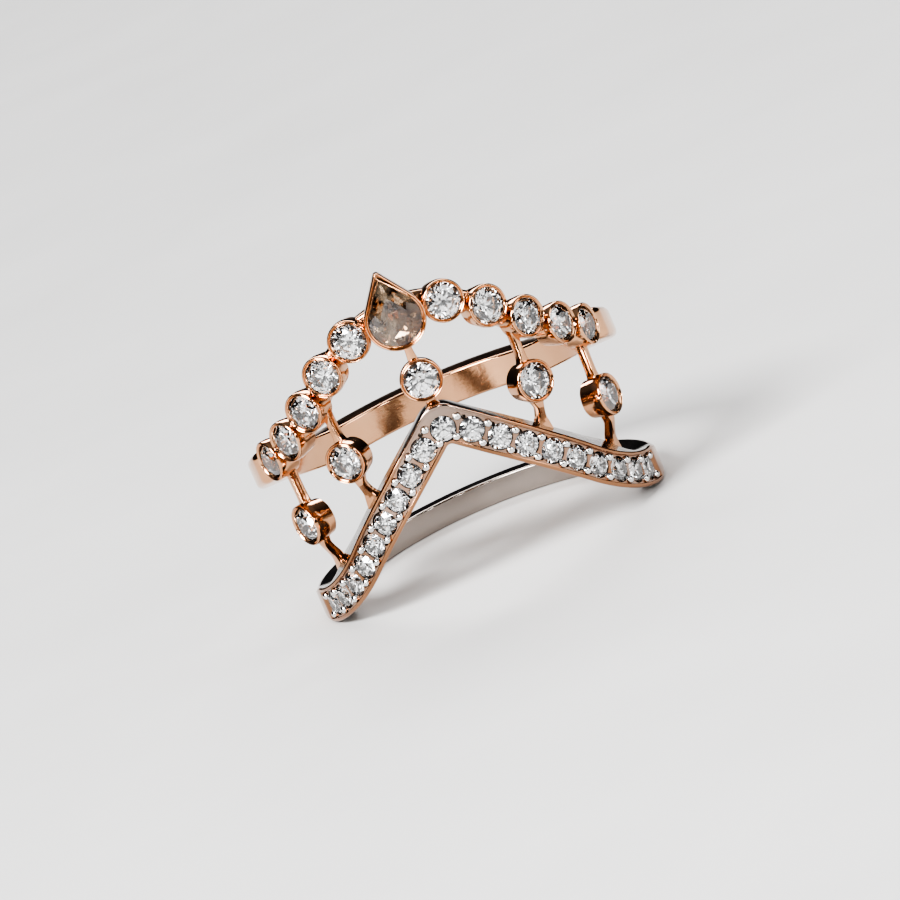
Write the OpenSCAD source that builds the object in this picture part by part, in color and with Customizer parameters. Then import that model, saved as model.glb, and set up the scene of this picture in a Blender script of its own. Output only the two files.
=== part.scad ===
// A crown ring: a row of bezel-set stones and a pave-set chevron band, joined by struts.
// The finger hole runs along Z, the front faces -Y, and the chevron's shank rests on Z = 0.
// A place on the ring is an angle from the front and a height. An arc is measured along the face.

/* [Finger hole] */
// Diameter of the finger hole at the plain shanks
bore_d = 15.9; // [15:0.1:19]
// How far the set front stands off the finger, beyond the shanks
front_relief = 0.05; // [0.03:0.01:0.1]

/* [Chevron band] */
// Thickness of the chevron band, from the finger outwards
chevron_t = 1.3; // [1.2:0.05:1.8]
// Width of the chevron band, across its legs
chevron_w = 1.85; // [1.7:0.05:2.2]
// How steeply the legs fall away from the point, in degrees
chevron_slope = 39.2; // [34:0.1:42]
// Radius of the point on the middle line of the band
chevron_crest_round = 1.6; // [1.3:0.1:2]
// Radius of the point on the outer edge
chevron_outer_round = 1.3; // [0.6:0.1:2.5]
// Radius of the inner corner under the point
chevron_inner_round = 0.3; // [0.2:0.1:0.6]
// Radius of the bend where each leg levels out
chevron_foot_round = 10.2; // [9:0.1:12]
// Angle from the front at which each leg is level
chevron_foot_angle = 82; // [80:1:90]
// Bevel along the band's outer edges
chevron_bevel = 0.12; // [0.05:0.01:0.2]
// How far the upper wall is turned square to the front, as a share
upper_wall_turn = 1; // [0.6:0.05:1]
// How far the lower wall is turned square to the front, as a share
lower_wall_turn = 0.65; // [0.3:0.05:0.8]
// Width of the plain shank behind the legs
chevron_shank_w = 1.3; // [1.2:0.05:1.85]
// Width of the bright rail on each side of the stones
rail_w = 0.2; // [0.15:0.01:0.3]
// Depth of the channel floor below the rails
channel_depth = 0.15; // [0.1:0.01:0.25]
// Angle from the front at which the channel ends
channel_end = 76; // [74:1:80]

/* [Crown row] */
// Height of the middle of the upper shank, before it drops
row_level = 8.3; // [8:0.1:9]
// How far the upper shank drops behind the row
shank_drop = 1.8; // [0:0.1:2.2]
// Thickness of the upper shank, from the finger outwards
shank_t = 1.85; // [1.2:0.05:1.9]
// Width of the upper shank
shank_w = 1.65; // [1.4:0.05:2]
// Softening of the shank's outer edges
shank_bevel = 0.25; // [0.1:0.05:0.5]
// How steeply the row falls away from the pear, in degrees
row_slope = 37.9; // [34:0.1:40]
// Radius of the row's bend behind the pear
row_crest_round = 7.1; // [6:0.1:8]
// Radius of the bend where the row levels out
row_foot_round = 17; // [14:0.5:18]
// Angle from the front at which the row is level
row_foot_angle = 97; // [92:1:104]
// Width of the thin rail under the cups
row_rail_w = 1.2; // [0.9:0.05:1.4]
// Thickness of the thin rail under the cups
row_rail_t = 0.95; // [0.8:0.05:1.1]
// Angle from the front at which the rail starts to widen into the shank
shank_start = 64; // [62:1:68]
// Angle from the front at which the shank has its full size
shank_end = 73; // [70:1:80]

/* [Round cups] */
// Diameter of the stones in the row and on the struts
stone_d = 1.8; // [1.6:0.05:2]
// Diameter of a cup at its rim
cup_d = 2.16; // [2:0.02:2.3]
// Diameter of a cup at its back
cup_base_d = 1.9; // [1.6:0.05:2.1]
// Height of the cups' backs above the plain bore
cup_back = 0.4; // [0.2:0.05:0.6]
// Height of the cups' rims above the plain bore
cup_h = 1.67; // [1.6:0.01:1.8]
// Path along the row from the front to the first stone
row_first = 2.65; // [2.5:0.05:2.9]
// Path along the row between stones
row_pitch = 2.4; // [2.3:0.05:2.6]
// Number of stones in the row, on each side
row_count = 5; // [4:1:5]

/* [Cups on struts] */
// Height of the middle of the cup under the pear
centre_cup_z = 11.03; // [10.8:0.01:11.3]
// Angle from the front of the near cup on each side
near_cup_angle = 32.1; // [30:0.1:34]
// Height of the near cups
near_cup_z = 8.46; // [8.2:0.01:8.7]
// Angle from the front of the far cup on each side
far_cup_angle = 59; // [57:0.1:61]
// Height of the far cups
far_cup_z = 5.7; // [5.5:0.01:6]
// Width of the struts
strut_w = 0.42; // [0.35:0.01:0.5]
// Thickness of the struts, from the finger outwards
strut_t = 0.5; // [0.4:0.05:0.7]
// Height of the struts' front above the plain bore where they meet the row
strut_row_h = 1.15; // [1:0.05:1.3]
// Height of their front where they meet the cups
strut_cup_h = 1.3; // [1.1:0.05:1.4]
// Height of their front where they meet the chevron
strut_foot_h = 0.35; // [0.3:0.05:0.6]

/* [Pave stones] */
// Diameter of the small stones in the chevron
pave_d = 1.25; // [1.1:0.05:1.3]
// Path along the chevron between the small stones
pave_pitch = 1.49; // [1.44:0.01:1.55]
// Number of small stones on each side of the middle one
pave_count = 9; // [7:1:9]
// Diameter of the beads between the small stones
bead_d = 0.42; // [0.34:0.02:0.44]
// Distance of the beads from the middle of the band
bead_off = 0.5; // [0.48:0.01:0.55]

/* [Pear setting] */
// Width of the pear collet at its rim
pear_w = 3.05; // [2.8:0.05:3.3]
// Height of the pear collet, from its round end to its tip
pear_h = 3.9; // [3.7:0.05:4.2]
// Radius of the pear's long sides
pear_side_round = 16; // [10:1:30]
// Height of the middle of the pear's round end
pear_z = 14.3; // [14.1:0.05:14.5]
// Height of the collet's rim above the plain bore
pear_rim_h = 1.85; // [1.7:0.05:2]
// Thickness of the collet's rim
pear_rim_t = 0.2; // [0.15:0.01:0.25]
// How far the collet draws in towards the finger
pear_taper = 0.4; // [0.2:0.05:0.5]
// Radius of the round nose at the collet's tip
pear_nose = 0.2; // [0.15:0.01:0.25]

/* [Hidden] */
// Clearance between a stone and its metal
gap = 0.04;
// How far a cut runs past what it cuts, and how far two cuts lap
past = 1;
lap = 0.01;
// Proportions of a round brilliant, as shares of its diameter
table_share = 0.57;
crown_share = 0.15;
girdle_share = 0.04;
pavilion_share = 0.45;
// Share of the crown's slope that the star facets take
star_share = 0.45;
// Height of the crown and depth of the pavilion of the pear
pear_crown = 0.24;
pear_girdle = 0.07;
pear_pavilion = 0.8;
pear_table_share = 0.5;
pear_culet_share = 0.05;
// Depth of each girdle below the metal's rim
cup_sink = 0.2;
pave_sink = 0.19;
pear_sink = 0.12;
// Diameters of the light holes behind the stones, and the pear's as a share of its outline
cup_light_hole_d = 0.8;
pave_light_hole_d = 0.4;
pear_light_hole = 0.3;
// Straight wall under the rims
cup_straight = 0.5;
pear_straight = 0.6;
// How far the middle of the nose lies below the pear's sharp tip, at the rim and near the finger
pear_nose_in = 0.08;
pear_foot_nose_in = 0.56;
pear_foot_nose = 0.05;
// Softening of the thin rail's outer edges
row_rail_bevel = 0.15;
// Angles between which the chevron's walls turn from the front to the finger's axis
wall_turn_start = 58;
wall_turn_end = 80;
// Angles between which the chevron narrows into its shank, and the upper shank drops
chevron_shank_start = 76;
chevron_shank_end = 98;
shank_drop_start = 70;
shank_drop_end = 150;
// Step of the sections round a band, fine at its point and coarse behind
fine_step = 1;
coarse_step = 3;
fine_reach = 9;
pear_steps = 6;
nose_steps = 3;
collet_steps = 8;
round_fn = 48;

bore_r = bore_d / 2;
chevron_r = bore_r + chevron_t;
// The ends and bends of the struts, as [angle, height, height of the front above the plain bore,
// share of the strut's width, fall of the section away from the front]
near_strut_path = [
    [34.4, near_cup_z + 3.2, strut_row_h, 1, 0],
    [32.7, near_cup_z + 1.2, strut_cup_h, 1, 0],
    [near_cup_angle, near_cup_z, strut_cup_h, 1, 0],
    [31.6, near_cup_z - 1.2, strut_cup_h, 1, 0],
    [33.3, near_cup_z - 2, strut_foot_h + 0.3, 1.2, 0.3],
    [33.9, near_cup_z - 2.4, strut_foot_h + 0.1, 2.4, 0.8],
    [34.2, near_cup_z - 3.1, strut_foot_h, 2.4, 0]
];
far_strut_path = [
    [62.4, far_cup_z + 3.6, strut_row_h, 1, 0],
    [59.5, far_cup_z + 1.2, strut_cup_h, 1, 0],
    [far_cup_angle, far_cup_z, strut_cup_h, 1, 0],
    [58.3, far_cup_z - 1.2, strut_cup_h, 1, 0],
    [62, far_cup_z - 2.2, strut_foot_h + 0.3, 1.2, 0.2],
    [64, far_cup_z - 2.85, strut_foot_h + 0.1, 1.9, 0.4],
    [65, far_cup_z - 3.3, strut_foot_h, 1.9, 0]
];
centre_strut_path = [
    [0, pear_z - 1, strut_cup_h, 1.6, 0],
    [0, pear_z - 1.6, strut_cup_h, 1, 0],
    [0, centre_cup_z, strut_cup_h, 1, 0],
    [0, centre_cup_z - 1.2, strut_cup_h, 1.2, 0],
    [0, centre_cup_z - 2, strut_foot_h, 2.2, 0]
];
cup_girdle_r = bore_r + cup_h - cup_sink;
pave_girdle_r = chevron_r - pave_sink;
pear_girdle_r = bore_r + pear_rim_h - pear_sink;
// The row's path is measured at its stones' tables
row_r = cup_girdle_r + stone_d * crown_share;
// Everything starts inside the finger hole, which is bored last
inside_r = bore_r - 0.6;
// The front wall, relieved from the finger, ends behind the point where both bands are level
relief_y = 1;
chevron_foot_s = arc_of(chevron_foot_angle, chevron_r);
row_foot_s = arc_of(row_foot_angle, row_r);
chevron_crest = crest_for(
    chevron_w / 2, chevron_slope, chevron_foot_round, chevron_foot_s);
row_crest = crest_for(row_level, row_slope, row_foot_round, row_foot_s);
pear_round_r = pear_w / 2;
pear_tip_y = pear_h - pear_round_r;
// Centre of the left side's long arc, which meets the round end and the tip
pear_arc_y = (pow(pear_tip_y, 2) - pow(pear_side_round, 2) + pow(pear_side_round - pear_round_r, 2))
    / (2 * pear_tip_y);
pear_arc_x = sqrt(pow(pear_side_round - pear_round_r, 2) - pow(pear_arc_y, 2));

SIDES = [["left", -1], ["right", 1]];
function stone_name(family, side, k) = str(family, "_stone_", side[0], "_", k);

// Arc length on a circle, from an angle in degrees, and back
function arc_of(angle, r) = angle * PI / 180 * r;
function angle_of(s, r) = s / r * 180 / PI;

// A share that rises from 0 to 1 between two angles, with a soft start and stop
function ease(angle, start, end) =
    let (u = min(max((angle - start) / (end - start), 0), 1)) u * u * (3 - 2 * u);

// Each side of a band is a round crest, a straight slope and a round foot that ends level.
// The straight slopes of the two sides would cross at the front, at this height.
function crest_for(level, slope, foot_round, foot_s) =
    level + foot_round + foot_s * tan(slope) - foot_round / cos(slope);

// Height of the line that runs at a distance beside a band's middle line, above it if positive
function leg_height(s, beside, crest, slope, crest_round, foot_round, foot_s) =
    let (
        line = crest + beside / cos(slope),
        foot = foot_round - beside,
        foot_z = crest - foot_s * tan(slope) + foot_round / cos(slope)
    )
    s < crest_round * sin(slope)
        ? line - crest_round / cos(slope) + sqrt(pow(crest_round, 2) - pow(s, 2))
        : s < foot_s - foot * sin(slope)
            ? line - s * tan(slope)
            : s < foot_s
                ? foot_z - sqrt(pow(foot, 2) - pow(foot_s - s, 2))
                : foot_z - foot;

// Angle of fall of the middle line after a path length t from the front
function leg_fall(t, slope, crest_round, foot_round, foot_s) =
    let (
        crest_t = arc_of(slope, crest_round),
        slope_s = foot_s - (foot_round + crest_round) * sin(slope),
        foot_t = crest_t + slope_s / cos(slope)
    )
    t < crest_t
        ? angle_of(t, crest_round)
        : t < foot_t ? slope : slope - angle_of(t - foot_t, foot_round);

// Distance round the ring after a path length t from the front
function leg_arc(t, slope, crest_round, foot_round, foot_s) =
    let (
        fall = leg_fall(t, slope, crest_round, foot_round, foot_s),
        crest_t = arc_of(slope, crest_round),
        crest_s = crest_round * sin(slope)
    )
    t < crest_t
        ? crest_round * sin(fall)
        : fall == slope
            ? crest_s + (t - crest_t) * cos(slope)
            : foot_s - foot_round * sin(fall);

function chevron_height(s, beside, crest_round) = leg_height(
    s, beside, chevron_crest, chevron_slope, crest_round, chevron_foot_round, chevron_foot_s);
function row_height(s, beside) = leg_height(
    s, beside, row_crest, row_slope, row_crest_round + beside, row_foot_round, row_foot_s);

// Place of a stone or bead on the chevron: [angle, height] at a path length, beside the middle
function chevron_place(t, beside) =
    let (
        s = leg_arc(
            t, chevron_slope, chevron_crest_round, chevron_foot_round, chevron_foot_s),
        fall = leg_fall(
            t, chevron_slope, chevron_crest_round, chevron_foot_round, chevron_foot_s)
    )
    [
        angle_of(s + beside * sin(fall), chevron_r),
        chevron_height(s, 0, chevron_crest_round) + beside * cos(fall)
    ];

function row_place(t) =
    let (s = leg_arc(t, row_slope, row_crest_round, row_foot_round, row_foot_s))
    [angle_of(s, row_r), row_height(s, 0)];

function on_ring(angle, r, z) = [r * sin(angle), -r * cos(angle), z];

// Angles of the sections round a whole band, from behind the left side to behind the right
function section_angles() = concat(
    [for (a = [-180:coarse_step:-fine_reach - coarse_step]) a],
    [for (a = [-fine_reach:fine_step:fine_reach]) a],
    [for (a = [fine_reach + coarse_step:coarse_step:180 - coarse_step]) a]);

// A solid through sections of equal point counts, closed on itself or capped at both ends
module sweep(sections, closed) {
    count = len(sections);
    sides = len(sections[0]);
    last = closed ? count - 1 : count - 2;
    walls = [
        for (i = [0:last]) for (j = [0:sides - 1])
            let (
                a = i * sides + j,
                b = i * sides + (j + 1) % sides,
                c = ((i + 1) % count) * sides + (j + 1) % sides,
                d = ((i + 1) % count) * sides + j
            )
            each [[a, b, c], [a, c, d]]
    ];
    caps = closed
        ? []
        : [
            [for (j = [sides - 1:-1:0]) j],
            [for (j = [0:sides - 1]) (count - 1) * sides + j]
        ];
    polyhedron([for (section = sections) each section], concat(walls, caps));
}

// Section of a band at an angle, with bevelled outer edges and its own heights at the finger
function band_section(angle, low, high, foot_low, foot_high, r, bevel) = [
    on_ring(angle, inside_r, foot_high),
    on_ring(angle, inside_r, foot_low),
    on_ring(angle, r - bevel, low),
    on_ring(angle, r, low + bevel),
    on_ring(angle, r, high - bevel),
    on_ring(angle, r - bevel, high)
];

function chevron_low(s) = chevron_height(s, -chevron_w / 2, chevron_inner_round);
function chevron_high(s) =
    chevron_height(s, chevron_w / 2, chevron_outer_round)
    - (chevron_w - chevron_shank_w)
        * ease(angle_of(s, chevron_r), chevron_shank_start, chevron_shank_end);

// Where a wall's foot at the finger takes its height: a wall square to the front runs straight
// back, and so it takes the height of a place nearer the front
function wall_foot_arc(angle, turn) =
    let (
        a = abs(angle),
        straight_back = asin(inside_r / chevron_r * sin(a)),
        share = turn * (1 - ease(a, wall_turn_start, wall_turn_end))
    )
    arc_of(a + (straight_back - a) * share, chevron_r);

module chevron_band() {
    sweep(
        [
            for (a = section_angles())
                let (s = arc_of(abs(a), chevron_r))
                band_section(
                    a,
                    chevron_low(s),
                    chevron_high(s),
                    chevron_low(wall_foot_arc(a, lower_wall_turn)),
                    chevron_high(wall_foot_arc(a, upper_wall_turn)),
                    chevron_r,
                    chevron_bevel)
        ],
        true);
}

// The recess between the rails, where the small stones sit
module chevron_channel() {
    half = chevron_w / 2 - rail_w;
    floor_r = chevron_r - channel_depth;
    angles = concat(
        [-channel_end],
        [for (a = section_angles()) if (abs(a) < channel_end) a],
        [channel_end]);
    sweep(
        [
            for (a = angles)
                let (
                    s = arc_of(abs(a), chevron_r),
                    low = chevron_height(s, -half, chevron_inner_round),
                    high = chevron_height(s, half, chevron_outer_round)
                )
                [
                    on_ring(a, floor_r, high),
                    on_ring(a, floor_r, low),
                    on_ring(a, chevron_r + past, low),
                    on_ring(a, chevron_r + past, high)
                ]
        ],
        false);
}

module crown_band() {
    sweep(
        [
            for (a = section_angles())
                let (
                    share = ease(abs(a), shank_start, shank_end),
                    drop = shank_drop * ease(abs(a), shank_drop_start, shank_drop_end),
                    half = (row_rail_w + (shank_w - row_rail_w) * share) / 2,
                    thick = row_rail_t + (shank_t - row_rail_t) * share,
                    s = arc_of(abs(a), row_r),
                    low = row_height(s, -half) - drop,
                    high = row_height(s, half) - drop
                )
                band_section(
                    a,
                    low,
                    high,
                    low,
                    high,
                    bore_r + thick,
                    row_rail_bevel + (shank_bevel - row_rail_bevel) * share)
        ],
        true);
}

// Puts a child that stands on Z at a place on the ring, with its Z pointing outwards
module stand_at(angle, z) {
    rotate([0, 0, angle]) translate([0, 0, z]) rotate([90, 0, 0]) children();
}

module round_cup() {
    back_r = bore_r + cup_back;
    straight_r = bore_r + cup_h - cup_straight;
    translate([0, 0, back_r])
        cylinder(h = straight_r - back_r, d1 = cup_base_d, d2 = cup_d, $fn = round_fn);
    translate([0, 0, straight_r]) cylinder(h = cup_straight, d = cup_d, $fn = round_fn);
}

// The seat bored for a round stone: a straight mouth, a cone beside the pavilion, a light hole
module round_seat(d, girdle_r, light_hole_d) {
    mouth_r = girdle_r - d * girdle_share - gap / 2;
    mouth_d = d + 2 * gap;
    cone_h = (mouth_d - light_hole_d) * pavilion_share;
    translate([0, 0, mouth_r]) cylinder(h = past, d = mouth_d, $fn = round_fn);
    translate([0, 0, mouth_r - cone_h])
        cylinder(h = cone_h + lap, d1 = light_hole_d, d2 = mouth_d, $fn = round_fn);
    translate([0, 0, inside_r - past])
        cylinder(h = mouth_r - cone_h - inside_r + past + lap, d = light_hole_d, $fn = round_fn);
}

// Outline of the pear, drawn in by an inset, from its tip down the right side and up the left
function pear_side(inset) =
    let (
        long_r = pear_side_round - inset,
        end_r = pear_round_r - inset,
        // The long arc turns from the tip to where it meets the round end
        tip_turn = acos(pear_arc_x / long_r),
        meet_turn = atan2(-pear_arc_y, pear_arc_x),
        long_arc = [
            for (k = [0:pear_steps - 1])
                let (turn = tip_turn + (meet_turn - tip_turn) * k / pear_steps)
                [-pear_arc_x + long_r * cos(turn), pear_arc_y + long_r * sin(turn)]
        ],
        round_end = [
            for (k = [0:pear_steps])
                let (turn = meet_turn - (meet_turn + 90) * k / pear_steps)
                [end_r * cos(turn), end_r * sin(turn)]
        ]
    )
    concat(long_arc, round_end);

function pear_outline(inset) =
    let (right = pear_side(inset), count = len(right))
    concat(right, [for (k = [count - 2:-1:1]) [-right[k][0], right[k][1]]]);

function at_level(outline, z, share = 1) = [for (p = outline) [p[0] * share, p[1] * share, z]];

// Outside of the collet: a round end and a round nose joined by straight sides, in the same order
function collet_outline(end_r, nose_r, nose_y) =
    let (
        join_turn = asin((end_r - nose_r) / nose_y),
        right = concat(
            [
                for (k = [0:nose_steps])
                    let (turn = 90 + (join_turn - 90) * k / nose_steps)
                    [nose_r * cos(turn), nose_y + nose_r * sin(turn)]
            ],
            [
                for (k = [0:collet_steps])
                    let (turn = join_turn - (join_turn + 90) * k / collet_steps)
                    [end_r * cos(turn), end_r * sin(turn)]
            ])
    )
    concat(right, [for (k = [len(right) - 2:-1:1]) [-right[k][0], right[k][1]]]);

module pear_collet() {
    rim_r = bore_r + pear_rim_h;
    outline = collet_outline(pear_round_r, pear_nose, pear_tip_y - pear_nose_in);
    foot = collet_outline(
        pear_round_r - pear_taper, pear_foot_nose, pear_tip_y - pear_foot_nose_in);
    sweep(
        [
            at_level(foot, inside_r),
            at_level(outline, rim_r - pear_straight),
            at_level(outline, rim_r)
        ],
        false);
}

module pear_seat() {
    outline = pear_outline(pear_rim_t - gap);
    sweep(
        [
            at_level(outline, inside_r - past, pear_light_hole),
            at_level(outline, pear_girdle_r - pear_pavilion, pear_light_hole),
            at_level(outline, pear_girdle_r - pear_girdle - gap),
            at_level(outline, pear_girdle_r + past)
        ],
        false);
}

// A strut along a path on one side, buried at both ends in what it meets
module strut(path, side) {
    sweep(
        [
            for (row = path)
                let (
                    angle = side * row[0],
                    height = row[1],
                    front_r = bore_r + row[2],
                    half_w = strut_w * row[3] / 2,
                    half = angle_of(half_w, front_r),
                    fall = side * row[4] * half_w
                )
                [
                    on_ring(angle - half, front_r - strut_t, height + fall),
                    on_ring(angle - half, front_r, height + fall),
                    on_ring(angle + half, front_r, height - fall),
                    on_ring(angle + half, front_r - strut_t, height - fall)
                ]
        ],
        false);
}

module struts() {
    strut(centre_strut_path, 1);
    for (side = [-1, 1]) {
        strut(near_strut_path, side);
        strut(far_strut_path, side);
    }
}

function row_stone_place(k) = row_place(row_first + (k - 1) * row_pitch);
function cup_stone_place(k) = k == 1 ? [near_cup_angle, near_cup_z] : [far_cup_angle, far_cup_z];
function pave_stone_place(k) = chevron_place(k * pave_pitch, 0);

module each_round_cup() {
    stand_at(0, centre_cup_z) children();
    for (side = [-1, 1]) {
        for (k = [1:row_count]) {
            place = row_stone_place(k);
            stand_at(side * place[0], place[1]) children();
        }
        for (k = [1:2]) {
            place = cup_stone_place(k);
            stand_at(side * place[0], place[1]) children();
        }
    }
}

module each_pave_seat() {
    middle = pave_stone_place(0);
    stand_at(middle[0], middle[1]) children();
    for (side = [-1, 1]) {
        for (k = [1:pave_count]) {
            place = pave_stone_place(k);
            stand_at(side * place[0], place[1]) children();
        }
    }
}

module beads() {
    for (side = [-1, 1]) {
        for (k = [0:pave_count]) {
            for (beside = [-bead_off, bead_off]) {
                place = chevron_place((k + 0.5) * pave_pitch, beside);
                stand_at(side * place[0], place[1])
                    translate([0, 0, chevron_r - channel_depth]) sphere(d = bead_d, $fn = 24);
            }
        }
    }
}

module bore() {
    long = pear_z + pear_h + 2 * past;
    translate([0, 0, -past]) cylinder(h = long, d = bore_d, $fn = 180);
    intersection() {
        translate([0, 0, -past]) cylinder(h = long, r = bore_r + front_relief, $fn = 180);
        translate([-bore_d, relief_y - 2 * bore_d, -2 * past])
            cube([2 * bore_d, 2 * bore_d, long + 2 * past]);
    }
}

module ring_frame() {
    color("lightsalmon") difference() {
        union() {
            difference() {
                union() {
                    chevron_band();
                    crown_band();
                    struts();
                    each_round_cup() round_cup();
                    stand_at(0, pear_z) pear_collet();
                }
                chevron_channel();
            }
            beads();
        }
        each_round_cup() round_seat(stone_d, cup_girdle_r, cup_light_hole_d);
        each_pave_seat() round_seat(pave_d, pave_girdle_r, pave_light_hole_d);
        stand_at(0, pear_z) pear_seat();
        bore();
    }
}

// A round brilliant with its girdle's top at Z = 0: table, stars, kites, girdle and pavilion
module round_stone(d) {
    r = d / 2;
    table_r = r * table_share;
    crown = d * crown_share;
    star_r = table_r + (r - table_r) * star_share;
    star_z = crown * (r - star_r * cos(22.5)) / (r - table_r);
    girdle = d * girdle_share;
    culet_z = -girdle - d * pavilion_share;
    points = concat(
        [for (k = [0:7]) [table_r * cos(45 * k), table_r * sin(45 * k), crown]],
        [for (k = [0:7]) [star_r * cos(45 * k + 22.5), star_r * sin(45 * k + 22.5), star_z]],
        [for (k = [0:15]) [r * cos(22.5 * k), r * sin(22.5 * k), 0]],
        [for (k = [0:15]) [r * cos(22.5 * k), r * sin(22.5 * k), -girdle]],
        [[0, 0, culet_z]]);
    faces = concat(
        [[for (k = [7:-1:0]) k]],
        [for (k = [0:7]) [k, (k + 1) % 8, 8 + k]],
        [for (k = [0:7]) [k, 8 + k, 16 + 2 * k]],
        [for (k = [0:7]) [k, 16 + 2 * k, 8 + (k + 7) % 8]],
        [for (k = [0:7]) [8 + k, 17 + 2 * k, 16 + 2 * k]],
        [for (k = [0:7]) [8 + k, 16 + (2 * k + 2) % 16, 17 + 2 * k]],
        [for (k = [0:15]) [16 + k, 16 + (k + 1) % 16, 32 + (k + 1) % 16, 32 + k]],
        [for (k = [0:15]) [32 + k, 32 + (k + 1) % 16, 48]]);
    polyhedron(points, faces);
}

module pear_stone() {
    outline = pear_outline(pear_rim_t);
    low_r = pear_girdle_r - pear_girdle;
    color("tan") stand_at(0, pear_z) sweep(
        [
            at_level(outline, low_r - pear_pavilion, pear_culet_share),
            at_level(outline, low_r),
            at_level(outline, pear_girdle_r),
            at_level(outline, pear_girdle_r + pear_crown, pear_table_share)
        ],
        false);
}

module placed_stone(place, side, r, d) {
    color("white") stand_at(side * place[0], place[1]) translate([0, 0, r]) round_stone(d);
}

ring_frame();
pear_stone();
for (side = SIDES) {
    for (k = [1:row_count]) {
        placed_stone(row_stone_place(k), side[1], cup_girdle_r, stone_d);
    }
    for (k = [1:2]) {
        placed_stone(cup_stone_place(k), side[1], cup_girdle_r, stone_d);
    }
    for (k = [1:pave_count]) {
        placed_stone(pave_stone_place(k), side[1], pave_girdle_r, pave_d);
    }
}
placed_stone([0, centre_cup_z], 1, cup_girdle_r, stone_d);  // cup_stone_centre
placed_stone(pave_stone_place(0), 1, pave_girdle_r, pave_d);  // pave_stone_centre
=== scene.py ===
"""Looks for the crown ring. Sizes are in millimetres here and become metres in make_mesh.

The finger hole runs along Z, the front faces -Y, and the ring lies on its side on the floor.
A place on the ring is an angle from the front, in degrees, and a height.
"""

import math
import random

import bmesh
import bpy
from mathutils import Matrix, Vector

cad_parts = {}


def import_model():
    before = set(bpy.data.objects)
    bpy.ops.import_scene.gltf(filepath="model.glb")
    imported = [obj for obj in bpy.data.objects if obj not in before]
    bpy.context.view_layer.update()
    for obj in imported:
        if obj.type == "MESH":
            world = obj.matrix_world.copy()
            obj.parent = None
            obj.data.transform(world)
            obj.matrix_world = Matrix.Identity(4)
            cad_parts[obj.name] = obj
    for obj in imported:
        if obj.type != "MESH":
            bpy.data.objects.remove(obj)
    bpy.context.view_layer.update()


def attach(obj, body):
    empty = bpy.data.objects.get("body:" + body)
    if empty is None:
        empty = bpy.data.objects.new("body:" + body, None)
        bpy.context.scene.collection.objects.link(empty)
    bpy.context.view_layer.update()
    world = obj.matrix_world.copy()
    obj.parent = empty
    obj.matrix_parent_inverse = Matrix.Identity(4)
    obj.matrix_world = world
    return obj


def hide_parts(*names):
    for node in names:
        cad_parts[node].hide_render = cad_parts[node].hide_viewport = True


MM = 0.001
SIDES = (("left", -1), ("right", 1))

# The same values as in the part's source
BORE_R = 7.95
FRONT_RELIEF = 0.05
CHEVRON_R = 9.25
CHEVRON_W = 1.85
CHEVRON_SLOPE = 39.2
CHEVRON_CREST_ROUND = 1.6
CHEVRON_OUTER_ROUND = 1.3
CHEVRON_INNER_ROUND = 0.3
CHEVRON_FOOT_ROUND = 10.2
CHEVRON_FOOT_ANGLE = 82
CHEVRON_BEVEL = 0.12
RAIL_W = 0.2
CHANNEL_DEPTH = 0.15
CHANNEL_END = 76
UPPER_WALL_TURN = 1
LOWER_WALL_TURN = 0.65
WALL_TURN_START = 58
WALL_TURN_END = 80
CHEVRON_SHANK_W = 1.3
CHEVRON_SHANK_START = 76
CHEVRON_SHANK_END = 98
ROW_LEVEL = 8.3
SHANK_DROP = 1.8
SHANK_DROP_START = 70
SHANK_DROP_END = 150
SHANK_T = 1.85
SHANK_W = 1.65
ROW_SLOPE = 37.9
ROW_CREST_ROUND = 7.1
ROW_FOOT_ROUND = 17
ROW_FOOT_ANGLE = 97
ROW_RAIL_W = 1.2
ROW_RAIL_T = 0.95
SHANK_START = 64
SHANK_END = 73
STONE_D = 1.8
CUP_D = 2.16
CUP_BASE_D = 1.9
CUP_BACK = 0.4
CUP_H = 1.67
CUP_STRAIGHT = 0.5
CUP_SINK = 0.2
ROW_FIRST = 2.65
ROW_PITCH = 2.4
ROW_COUNT = 5
CENTRE_CUP_Z = 11.03
NEAR_CUP = (32.1, 8.46)
FAR_CUP = (59, 5.7)
STRUT_W = 0.42
STRUT_T = 0.5
STRUT_ROW_H = 1.15
STRUT_CUP_H = 1.3
STRUT_FOOT_H = 0.35
PAVE_D = 1.25
PAVE_PITCH = 1.49
PAVE_COUNT = 9
PAVE_SINK = 0.19
BEAD_D = 0.42
BEAD_OFF = 0.5
PEAR_W = 3.05
PEAR_H = 3.9
PEAR_SIDE_ROUND = 16
PEAR_Z = 14.3
PEAR_RIM_H = 1.85
PEAR_RIM_T = 0.2
PEAR_TAPER = 0.4
PEAR_STRAIGHT = 0.6
PEAR_LIGHT_HOLE = 0.3
PEAR_NOSE = 0.2
PEAR_NOSE_IN = 0.08
PEAR_FOOT_NOSE = 0.05
PEAR_FOOT_NOSE_IN = 0.56
PEAR_SINK = 0.12
PEAR_CROWN = 0.24
PEAR_GIRDLE = 0.07
PEAR_PAVILION = 0.8
TABLE_SHARE = 0.57
CROWN_SHARE = 0.15
GIRDLE_SHARE = 0.04
PAVILION_SHARE = 0.45
STAR_SHARE = 0.45
CUP_LIGHT_HOLE_D = 0.8
PAVE_LIGHT_HOLE_D = 0.4

# The rest is for looks only. First, how the edges of the bands are rounded: at the finger hole,
# along the channel, and outside, in front and on the plain shanks
HOLE_ROUND = 0.12
RAIL_ROUND = 0.035
CHEVRON_SHANK_ROUND = 0.3
ROW_RAIL_ROUND = 0.2
SHANK_ROUND = 0.34
# Angles over which the channel runs out, and over which the chevron's edges turn rounder behind it
CHANNEL_FADE = 0.8
CHEVRON_ROUND_FADE = 14
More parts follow.
